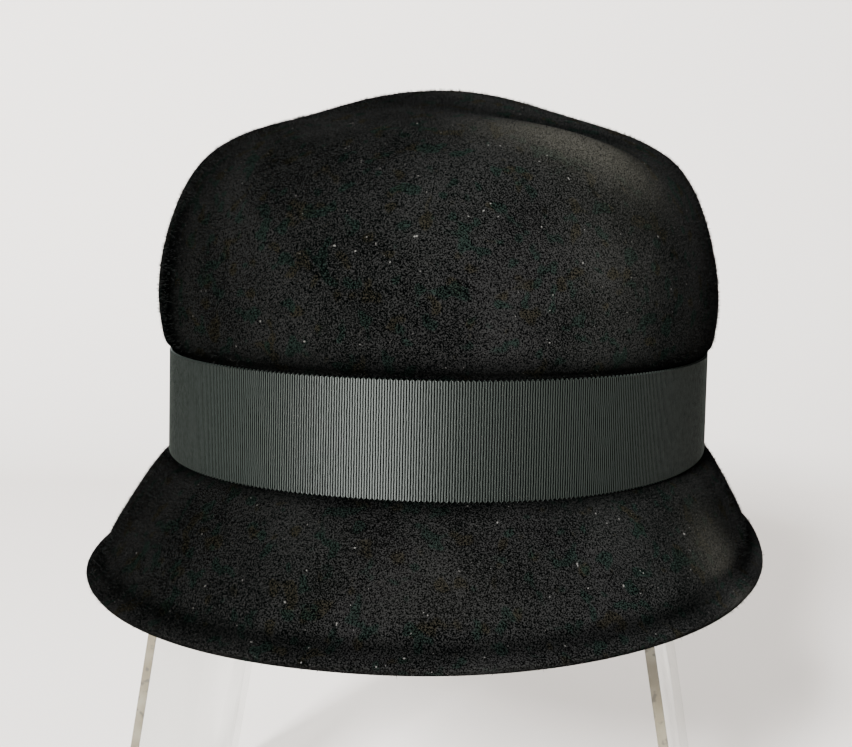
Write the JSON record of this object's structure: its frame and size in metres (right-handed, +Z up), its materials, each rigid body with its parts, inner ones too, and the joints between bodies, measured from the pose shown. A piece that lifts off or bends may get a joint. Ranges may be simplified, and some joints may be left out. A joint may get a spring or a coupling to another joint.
{
  "type": "cloche hat on clear stand",
  "caption": "Black velour-felt cloche with a domed crown, a grosgrain ribbon and a short sloping brim, resting on a clear bent-sheet stand",
  "frame": {"origin": "on the ground plane under the middle of the bounding box; the stand's two feet rest on z = 0", "axes": "+Z up, the front of the hat faces -Y, +X to the wearer's left; the stand's legs spread along X"},
  "size_m": [0.2104, 0.2492, 0.2703],
  "materials": {
    "felt": "brushed velour felt, matt black",
    "grosgrain": "ribbed grosgrain ribbon, dark grey-green, slight satin",
    "clear_sheet": "polished clear acrylic sheet with saw-cut edges"
  },
  "bodies": {
    "root": {"felt_body": "felt", "ribbon_band": "grosgrain", "display_stand": "clear_sheet"}
  },
  "joints": []
}
